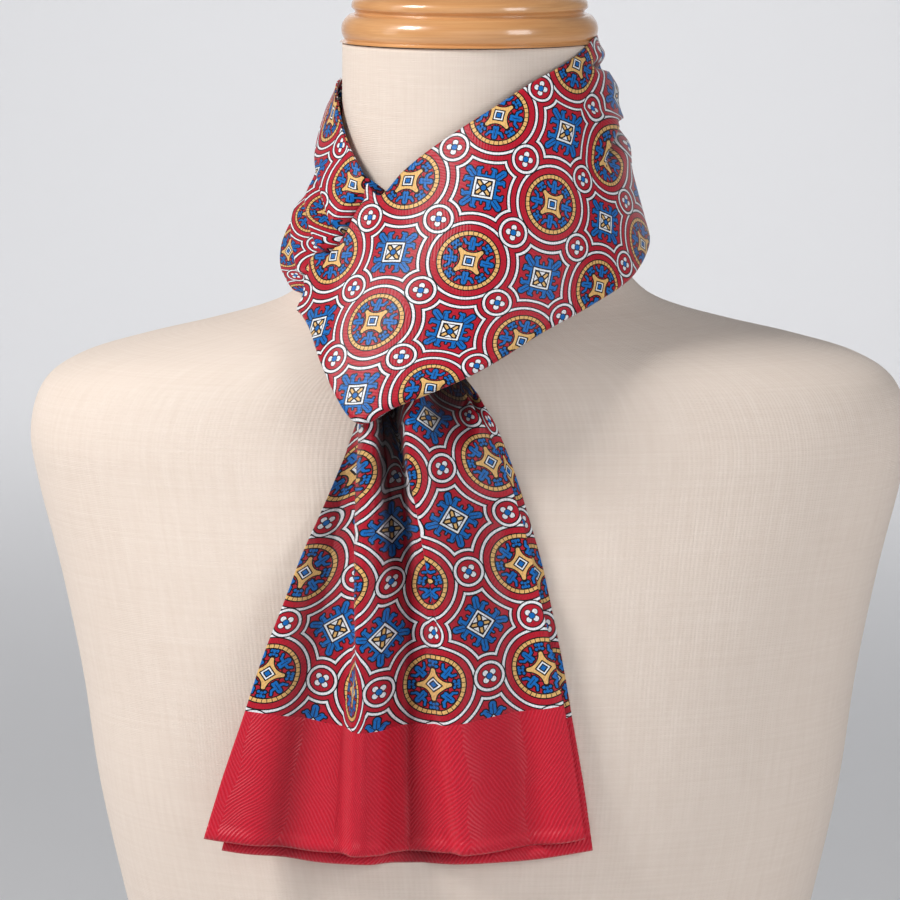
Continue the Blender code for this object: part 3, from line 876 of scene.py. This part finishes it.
def roll_surface(sections, seen_x, seen_z, seen_down, rise, dive, radius):
    """A roll: half a circle round its left edge, then a soft slope to its right edge,
    raised along the outward direction, and low again at both ends. Also its print's
    place, and the shade painted on it where it dives under the next roll and at its lower end."""
    down = np.linspace(0, 1, ROLL_ALONG)
    rows = through(sections, down * (len(sections) - 1))
    left, right = rows[:, None, 0:3], rows[:, None, 3:6]
    width = np.linalg.norm(right - left, axis=-1)
    turn = np.linspace(-math.pi / 2, math.pi / 2, ROLL_EDGE)
    slope = np.linspace(0, 1, ROLL_REST)[1:]
    c = np.concatenate([radius * (1 - np.cos(turn)) + 0 * width, radius + (width - radius) * slope], axis=1)
    fall = rise - (rise + dive) * smooth_step(slope * 0.94 + 0.06) ** 0.8
    h = np.concatenate([rise - radius + radius * np.sin(turn), fall])[None]
    middle = (left + right) / 2 * (1, 1, 0)
    outward = unit(middle)
    ends = smooth_step(down / ROLL_STARTS) * smooth_step((ROLL_ENDS - down) / ROLL_FALL)
    h = h * ends[:, None] - ROLL_DIVE * (1 - ends)[:, None]
    grid = left + unit(right - left) * c[..., None] + outward * h[..., None]
    across = np.cumsum(np.linalg.norm(np.diff(grid, axis=1, prepend=grid[:, :1]), axis=-1), axis=1)
    along = np.cumsum(np.linalg.norm(np.diff(grid, axis=0, prepend=grid[:1]), axis=-1), axis=0)
    place = np.stack([across * ROLL_STRETCH, along], axis=-1) / REPEAT
    spot = seen(grid)
    gap = (spot[..., 0] - seen_x) ** 2 + (spot[..., 1] - seen_z) ** 2 + NEARER * grid[..., 1]
    k, m = np.unravel_index(gap.argmin(), gap.shape)
    share = np.arange(grid.shape[1]) / grid.shape[1]
    # Painted shade: darker towards the right edge where the roll dives under the next cloth, and at its
    # lower end under the band
    painted_shade = smooth_step((share - SHADE_FROM) / SHADE_EASE) * (dive > 0)
    painted_shade = 0.85 * np.maximum(painted_shade[None], (1 - ends[:, None]) ** 2 * (down[:, None] > 0.5))
    return grid, place - place[k, m] + (0, seen_down), painted_shade


for number, row in enumerate(ROLLS, start=1):
    grid, place, painted_shade = roll_surface(*row)
    values = {"hem": np.full(grid.shape[:2], NO_HEM), "hollow": painted_shade}
    roll = surface(f"scarf_roll_{number}", grid, silk, place, values)
    give_wall(roll, 0.7)
    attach(roll, "root")

# %% [markdown]
# ## The two tails
# A tail's section runs from its left edge, through each pleat, to its right edge. A pleat
# goes under, back and over by two half circles. Each pleat hides some repeats of the
# print, and the rest of the scarf's width is spread evenly over what shows.

# %%
# Columns: z, half width, depth in front, depth behind, how square the ring is
FORM = (
    (18.3, 142.0, 101.0, 96.0, 2.3),
    (60.0, 163.0, 113.0, 110.0, 2.3),
    (110.0, 166.0, 112.0, 114.0, 2.3),
    (180.0, 148.0, 103.0, 98.0, 2.2),
    (250.0, 148.0, 108.0, 97.0, 2.2),
    (320.0, 164.0, 118.0, 108.0, 2.3),
    (385.0, 178.0, 123.0, 118.0, 2.4),
    (440.0, 186.0, 119.0, 124.0, 2.4),
    (490.0, 196.0, 110.0, 125.0, 2.4),
    (530.0, 206.0, 99.5, 123.0, 2.4),
    (556.0, 210.0, 93.0, 119.0, 2.4),
    (578.0, 204.0, 88.0, 114.0, 2.3),
    (590.0, 188.0, 84.5, 110.0, 2.2),
    (598.0, 162.0, 81.5, 106.0, 2.1),
    (605.0, 132.0, 78.5, 101.0, 2.0),
    (612.0, 105.0, 75.0, 95.0, 2.0),
    (619.5, 87.0, 71.5, 88.0, 2.0),
    (630.0, 76.0, 68.0, 80.5, 2.0),
    (644.0, 69.0, 65.5, 73.0, 2.0),
    (662.0, 65.0, 64.0, 66.5, 2.0),
    (680.0, 62.0, 62.0, 62.0, 2.0),
    (705.0, 60.7, 60.7, 60.5, 2.0),
    (739.7, 60.4, 60.4, 60.0, 2.0),
)
# Columns: z, left edge x, right edge x, the middle's y
FRONT_TAIL = (
    (594.0, -46.5, -7.0, -95.0),
    (583.0, -50.0, -1.5, -99.3),
    (571.0, -52.0, 6.0, -102.6),
    (551.0, -59.7, 15.5, -105.5),
    (529.0, -69.3, 23.2, -110.0),
    (511.0, -77.6, 28.0, -114.5),
    (492.0, -84.9, 32.0, -119.0),
    (466.0, -95.0, 38.0, -124.0),
    (440.0, -103.6, 43.4, -128.0),
    (412.0, -113.2, 48.2, -131.0),
    (384.0, -121.9, 52.3, -133.5),
)
BACK_TAIL = (
    (598.0, -39.0, -9.0, -90.0),
    (585.0, -42.0, 2.0, -95.2),
    (571.0, -45.0, 11.0, -98.8),
    (549.0, -54.0, 20.0, -101.6),
    (527.0, -64.0, 27.0, -105.0),
    (508.0, -72.0, 32.5, -109.5),
    (488.0, -80.0, 37.0, -114.5),
    (461.0, -90.0, 42.5, -119.5),
    (435.0, -98.0, 47.0, -123.5),
    (406.0, -106.0, 52.0, -126.5),
    (377.5, -114.0, 56.0, -129.0),
)
# Columns: z, the pleat's edge x, its overlap, how full it is, the repeats of print it hides
PLEAT_LEFT = (
    (600.0, -46.5, 2.0, 1.0, 1.10),
    (570.0, -49.0, 4.0, 1.0, 1.05),
    (540.0, -50.6, 6.0, 1.0, 0.90),
    (505.0, -51.0, 2.0, 1.0, 0.60),
    (475.0, -51.6, 0.0, 0.65, 0.54),
    (440.0, -53.0, 0.0, 0.25, 0.50),
    (384.0, -55.0, 0.0, 0.10, 0.35),
)
PLEAT_RIGHT = (
    (600.0, -33.5, 5.0, 1.0, 0.44),
    (576.0, -33.5, 8.0, 1.0, 0.42),
    (563.0, -29.8, 8.0, 1.0, 0.40),
    (551.0, -26.5, 6.0, 1.0, 0.38),
    (539.0, -23.2, 4.0, 1.0, 0.35),
    (519.0, -19.6, 1.0, 1.0, 0.30),
    (490.0, -15.8, 0.0, 0.50, 0.16),
    (470.0, -12.5, 0.0, 0.20, 0.04),
    (384.0, -2.0, 0.0, 0.0, 0.0),
)
PLEAT_TURN, PLEAT_CLEAR = 1.55, 3.3  # a pleat's half circles, and the flat cloth beside it
PLEAT_LEAST, PLEAT_SPREAD = 3.0, 16.0  # its least width, and how much wider it opens out
PLEAT_UNDER = 14  # the steps of a pleat's run that lie under it
TAIL_SAG, SIDE_SWEEP = 6.0, 5.0  # how far the middle hangs lower, and the sides come forward
TAIL_DOWN = 170
EDGE_SHOWS = 0.15  # repeats of print by which the left edge stands out further at its top
EDGE_FROM, EDGE_EASE = 525.0, 40.0  # from this height on, and over how much height
DEPTH_SHARE = 0.3  # how much of a fold's depth counts in the print's scale
CLEAR_OF_FORM = 0.985  # the form's front is this share of its depth off its middle
WIDTH, SIDE_MARGIN = 3.2, 0.09  # the scarf's width, and from its edge to the first medallion
ROW_STEP, FIRST_ROW = 48.8, 80.6  # mm from row to row up the tail, and from the hem to the first
END_RISE = 6.0  # mm that the print comes nearer to the hem at the pleats
RISE_AT, RISE_WIDE = 1.35, 0.85  # where across the print it does so, and how wide, in repeats
HEM_ROLL, HEM_HIGH = 1.1, 2.6  # how far the doubled hem stands forward, and how high it is
# Soft folds and hollows that run down from the band. Columns: z and x at the top, z and x
# at the bottom, how far forward the cloth stands at the top and at the bottom, half width
# on the left and on the right, how steep the sides are (2 is soft, 4 is steep), and how
# much shade is painted on the silk deep in it.
FRONT_WAVES = (
    (594.0, -47.0, 384.0, -54.0, 9.0, 6.5, 3.2, 12.0, 2, 0.0),
    (586.0, -31.0, 384.0, -3.0, 13.0, 7.5, 4.0, 20.0, 2, 0.0),
    (612.0, -39.5, 500.0, -33.0, -34.0, -4.0, 6.0, 6.5, 4, 1.5),
    (612.0, -12.0, 560.0, -8.0, -40.0, 0.0, 11.0, 9.0, 4, 2.6),
    (595.0, -54.0, 384.0, -86.0, -7.0, -5.0, 9.0, 10.0, 2, 0.55),
    (540.0, -34.0, 384.0, -24.0, -2.0, -6.5, 8.0, 8.0, 2, 0.35),
    (540.0, 12.0, 384.0, 28.0, -3.0, -3.5, 12.0, 8.0, 2, 0.15),
    (500.0, 30.0, 384.0, 44.0, 2.0, 2.0, 10.0, 8.0, 2, 0.0),
)
BACK_WAVES = (
    (612.0, -39.5, 500.0, -33.0, -34.0, -4.0, 10.0, 10.0, 4, 1.5),
    (612.0, -12.0, 560.0, -8.0, -40.0, 0.0, 14.0, 12.0, 4, 2.6),
    (595.0, -54.0, 384.0, -86.0, -7.0, -5.0, 12.0, 12.0, 2, 0.5),
    (540.0, -34.0, 384.0, -24.0, -2.0, -6.5, 12.0, 12.0, 2, 0.5),
    (560.0, 5.0, 377.5, 30.0, 1.2, 1.2, 16.0, 12.0, 2, 0.0),
)
WAVE_EASE, MOST_SHADE = 16.0, 0.94  # how soon a wave sets in, and the most shade painted in it


def column_at(table, z):
    """The other columns of a table whose first column is z, read at z."""
    rows = np.array(sorted(table))
    return [float(np.interp(z, rows[:, 0], rows[:, k])) for k in range(1, rows.shape[1])]


def pleat_run(edge, overlap, full, start, end):
    """A pleat's x and lift: half circle under, half circle over; flatter as it empties."""
    turn, angles = PLEAT_TURN, np.linspace(0, math.pi, 11)
    first = np.stack([edge + overlap + turn * np.sin(angles), turn * (1 - np.cos(angles))], axis=-1)
    second = np.stack([edge - turn * np.sin(angles), 2 * turn + turn * (1 - np.cos(angles))], axis=-1)
    folded_run = np.concatenate([first, second])
    share = np.linspace(0, 1, len(folded_run))
    flat = np.stack([start + (end - start) * share, 4 * turn * full * smooth_step(share)], axis=-1)
    return full * folded_run + (1 - full) * flat


def wave_lift(waves, x, z):
    """How far forward soft folds push points at x in a section at z, and the shade painted deep in them."""
    lift, painted_shade = np.zeros_like(x), np.zeros_like(x)
    for top, top_x, low, low_x, top_lift, low_lift, left, right, steep, shade in waves:
        down = np.clip((top - z) / (top - low), 0, 1)
        away = x - (top_x + (low_x - top_x) * down)
        forward = top_lift + (low_lift - top_lift) * down
        near = np.exp(-((np.abs(away) / np.where(away < 0, left, right)) ** steep))
        lift += forward * near * smooth_step((top + 2 - z) / WAVE_EASE)
        painted_shade = np.maximum(painted_shade, shade * near * abs(forward) / max(abs(top_lift), abs(low_lift)))
    return lift, np.minimum(painted_shade, MOST_SHADE)


def tail_section(z, left, right, pleats, panels):
    """One section's x and lift from left to right, the print that each step hides, and the
    share of each step that shows. Before each pleat the cloth comes down to its start."""
    section, hides, shows = [], [], []
    start, lift, clear = left, 0.0, 0.0
    for pleat, count in zip(pleats, panels):
        edge, overlap, full, hidden = column_at(pleat, z)
        width = PLEAT_LEAST + overlap + PLEAT_SPREAD * (1 - full)
        run = pleat_run(edge, overlap, full, edge - width / 2, edge + width / 2)
        low_to = min(edge - PLEAT_CLEAR, run[0, 0] - 1.5)
        low_from = max(min(start + clear, low_to - 2.5), start + 0.3 * (low_to - start))
        marks, lifts = [start, low_from, low_to, run[0, 0]], [lift, lift, 0.0, 0.0]
        if lift == 0.0:
            marks = np.linspace(start, run[0, 0], 4)
        share = np.arange(count) * 3 / count
        section.append(np.stack([np.interp(share, range(4), marks), np.interp(share, range(4), lifts)], -1))
        section.append(run[:-1])
        under = np.arange(len(run) - 1) < PLEAT_UNDER
        hides += [0.0] * count + list(hidden * (full * under / PLEAT_UNDER + (1 - full) / len(under)))
        shows += [1.0] * count + list(1 - full * under)
        start, lift = run[-1]
        clear = overlap + PLEAT_CLEAR
    x = np.linspace(start, right, panels[-1] + 1)
    fade = np.clip((x - start - clear) / (right - start - clear), 0, 1)
    section.append(np.stack([x, lift * (1 - fade) ** 1.5], axis=-1))
    last = panels[-1]
    return np.concatenate(section), np.array(hides + [0.0] * last), np.array(shows + [1.0] * last)


def tail_surface(table, pleats, panels, waves, clear):
    """A tail's points, its print's place, and at each point the distance from the hem and
    the shade painted on it in the folds."""
    rows = through(table, np.linspace(0, len(table) - 1, TAIL_DOWN))
    form = np.array(FORM)
    grid, across, painted_shade = [], [], []
    for z, left, right, middle in rows:
        section, hides, shows = tail_section(z, left, right, pleats, panels)
        side = (section[:, 0] - (left + right) / 2) / ((right - left) / 2)
        low = (z - rows[-1, 0]) / (rows[0, 0] - rows[-1, 0])
        sag = TAIL_SAG * (1 - side**2) * (1 - low) ** 1.5
        y = middle - section[:, 1] + SIDE_SWEEP * np.abs(side) ** 3 * (1 - 0.5 * low)
        # Painted shade from the waves, laid on the silk deep in the hollows under the band
        lift, shade = wave_lift(waves, section[:, 0], z)
        y -= lift
        painted_shade.append(shade)
        y = np.minimum(y, -CLEAR_OF_FORM * np.interp(z, form[:, 0], form[:, 2]) - clear)
        grid.append(np.stack([section[:, 0], y, z - sag], axis=-1))
        step = np.linalg.norm(np.diff(section, axis=0) * (1, DEPTH_SHARE), axis=-1) * shows
        first = -EDGE_SHOWS * smooth_step((z - EDGE_FROM) / EDGE_EASE)
        step = hides + step * (WIDTH - first - hides.sum()) / step.sum()
        across.append(first + np.concatenate([[0.0], np.cumsum(step)]))
    grid = np.array(grid).transpose(1, 0, 2)
    across = np.array(across).T
    up = np.linalg.norm(np.diff(grid[:, ::-1], axis=1), axis=-1)
    hem = np.concatenate([np.zeros((len(grid), 1)), np.cumsum(up, axis=1)], axis=1)[:, ::-1]
    grid[..., 1] -= HEM_ROLL * np.sqrt(np.maximum(1 - (hem / HEM_HIGH - 1) ** 2, 0))
    rise = END_RISE * np.exp(-(((across - RISE_AT) / RISE_WIDE) ** 2))
    hem += rise * np.minimum(hem / END_LENGTH, 1)
    place = np.stack([across - SIDE_MARGIN, (hem - FIRST_ROW) / ROW_STEP], axis=-1)
    return grid, place, {"hem": hem, "hollow": np.array(painted_shade).T}


# Columns: title, sections, pleats, steps in each panel, waves, how far clear of the form
for title, table, pleats, panels, waves, clear in (
    ("front", FRONT_TAIL, (PLEAT_LEFT, PLEAT_RIGHT), (44, 40, 90), FRONT_WAVES, 4.5),
    ("back", BACK_TAIL, (), (90,), BACK_WAVES, 1.5),
):
    grid, place, values = tail_surface(table, pleats, panels, waves, clear)
    tail = surface(f"scarf_{title}_tail", grid, silk, place, values)
    give_wall(tail, 1.1)
    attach(tail, "root")
    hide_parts(f"{title}_tail")

# %% [markdown]
# ## The dress form
# Rings of squared ellipses, smoothed through the form's table, and two turned pieces.

# %%
NECK_CAP = (
    (0.0, 740.0),
    (56.5, 740.0),
    (59.4, 741.6),
    (60.8, 745.5),
    (60.2, 749.5),
    (57.6, 752.8),
    (54.6, 754.0),
    (54.6, 755.2),
    (56.0, 756.8),
    (55.0, 760.2),
    (50.0, 763.0),
    (44.6, 764.2),
    (43.2, 765.6),
    (43.8, 768.0),
    (41.5, 771.0),
    (34.0, 773.6),
    (20.0, 775.6),
    (14.0, 778.5),
    (14.6, 783.5),
    (17.6, 789.0),
    (16.8, 794.5),
    (11.5, 798.6),
    (5.0, 800.3),
    (0.0, 800.4),
)
STAND = ((0.0, 0.0), (156.0, 0.0), (160.0, 4.0), (160.0, 13.0), (157.0, 16.8), (151.0, 18.0), (0.0, 18.0))
FORM_ROUND, FORM_UP, LATHE_ROUND = 192, 260, 160
LINEN_RADIUS = 70.0  # the weave is spread round the form as on a cylinder of this radius
LEAST_RADIUS = 0.02  # keeps a turned profile's ends open


def form_surface():
    """Each ring is |x/w|^n + |y/d|^n = 1, with d deeper in front or behind."""
    table = through(FORM, np.linspace(0, len(FORM) - 1, FORM_UP))
    pinch = (1, 0.001, 0.001, 0.001, 1)  # closes the form at its lower and upper end
    table = np.concatenate([table[:1] * pinch, table, table[-1:] * pinch])
    angle = np.arange(FORM_ROUND) * 2 * math.pi / FORM_ROUND
    c, s = np.cos(angle)[:, None], np.sin(angle)[:, None]
    z, half, front, back, square = table.T[:, None]
    x = half * np.sign(c) * np.abs(c) ** (2 / square)
    y = np.where(s < 0, front, back) * np.sign(s) * np.abs(s) ** (2 / square)
    grid = np.stack([x, y, np.broadcast_to(z, x.shape)], axis=-1)
    up = np.concatenate([[0.0], np.cumsum(np.linalg.norm(np.diff(grid, axis=1), axis=-1).mean(0))])
    spread = angle[:, None] * LINEN_RADIUS * np.ones_like(up)[None]
    return grid, np.stack([spread, np.broadcast_to(up, spread.shape)], axis=-1) * MM


def lathe(profile, smooth):
    """A profile of radius and height turned round Z; smooth is the points between rows."""
    rows = np.array(profile)
    if smooth > 1:
        rows = through(rows, np.linspace(0, len(rows) - 1, (len(rows) - 1) * smooth + 1))
    angle = (np.arange(LATHE_ROUND) * 2 * math.pi / LATHE_ROUND)[:, None]
    radius, z = np.maximum(rows[:, 0], LEAST_RADIUS), rows[:, 1]
    return np.stack([radius * np.cos(angle), radius * np.sin(angle), z + 0 * angle], axis=-1)


grid, place = form_surface()
body = surface("form_cover", grid, linen, place, wrap=True)
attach(body, "root")
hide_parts("form_body")
for title, profile, smooth in (("neck_cap", NECK_CAP, 5), ("form_stand", STAND, 1)):
    turned = surface(f"turned_{title}", lathe(profile, smooth), wood, wrap=True)
    turned.data.set_sharp_from_angle(angle=math.radians(40))
    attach(turned, "root")
    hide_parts(title)

# %% [markdown]
# ## Floor, light and camera
# A pale floor with two far walls, a soft light from the left, a weaker one from the right
# and one at each wall. The camera looks down a little through a long lens, framed on the
# scarf.

# %%
WALL_AWAY, WALL_HIGH, WALL_ROUND, WALL_STEPS = 5600.0, 4200.0, 900.0, 17


def cove():
    """Floor and two walls, behind and in front, as one sheet with round corners."""
    turn = np.linspace(0, math.pi / 2, WALL_STEPS)
    y = np.concatenate([WALL_AWAY + WALL_ROUND * (np.sin(turn) - 1), [WALL_AWAY]])
    z = np.concatenate([WALL_ROUND * (1 - np.cos(turn)), [WALL_HIGH]])
    y, z = np.concatenate([-y[::-1], y]), np.concatenate([z[::-1], z])
    sides = [np.stack([np.full_like(y, x), y, z], axis=-1) for x in (-WALL_AWAY, WALL_AWAY)]
    return np.stack(sides)


pale, tree, shader = new_material("pale_cove", 0.95)
shader.inputs["Base Color"].default_value = linear(226, 226, 228)
backdrop = surface("backdrop", cove(), pale)


def soft_light(name, place, target, size, power, colour):
    """A rectangular area light at a place, turned to face its target."""
    data = bpy.data.lights.new(name, "AREA")
    data.shape, data.size, data.size_y, data.energy, data.color = "RECTANGLE", *size, power, colour
    light = bpy.data.objects.new(name, data)
    light.location = place
    light.rotation_euler = (Vector(target) - Vector(place)).to_track_quat("-Z", "Y").to_euler()
    bpy.context.scene.collection.objects.link(light)


# Columns: name, place, target, size (m), power (W), colour
WARM, COOL, PURE = (1.0, 0.985, 0.965), (0.97, 0.985, 1.0), (1.0, 1.0, 1.0)
LIGHTS = (
    ("key", (-1.6, -0.8, 2.1), (0.0, 0.0, 0.6), (0.6, 0.7), 46.0, WARM),
    ("side", (-1.9, -0.5, 1.1), (0.0, 0.0, 0.62), (0.5, 1.2), 3.0, PURE),
    ("fill", (1.7, -1.7, 1.3), (0.0, 0.0, 0.6), (0.9, 1.1), 21.0, COOL),
    ("wall", (0.0, 3.8, 2.9), (0.0, 5.6, 0.7), (3.4, 0.6), 66.0, PURE),
    ("front wall", (0.0, -3.8, 2.9), (0.0, -5.6, 0.7), (3.4, 0.6), 66.0, PURE),
)
for row in LIGHTS:
    soft_light(*row)

world = bpy.data.worlds.new("studio")
bpy.context.scene.world = world
world.use_nodes = True
world.node_tree.nodes["Background"].inputs["Color"].default_value = (0.95, 0.97, 1.0, 1.0)
world.node_tree.nodes["Background"].inputs["Strength"].default_value = 0.2

camera_data = bpy.data.cameras.new("camera")
camera_data.lens = camera_data.sensor_width * LENS_TO_SENSOR
camera = bpy.data.objects.new("camera", camera_data)
back = Vector((0.0, -math.cos(CAMERA_TILT), math.sin(CAMERA_TILT)))
camera.location = AIM + back * CAMERA_DISTANCE
camera.rotation_euler = (-back).to_track_quat("-Z", "Y").to_euler()
bpy.context.scene.collection.objects.link(camera)
bpy.context.scene.camera = camera
bpy.context.scene.view_settings.view_transform = "Standard"
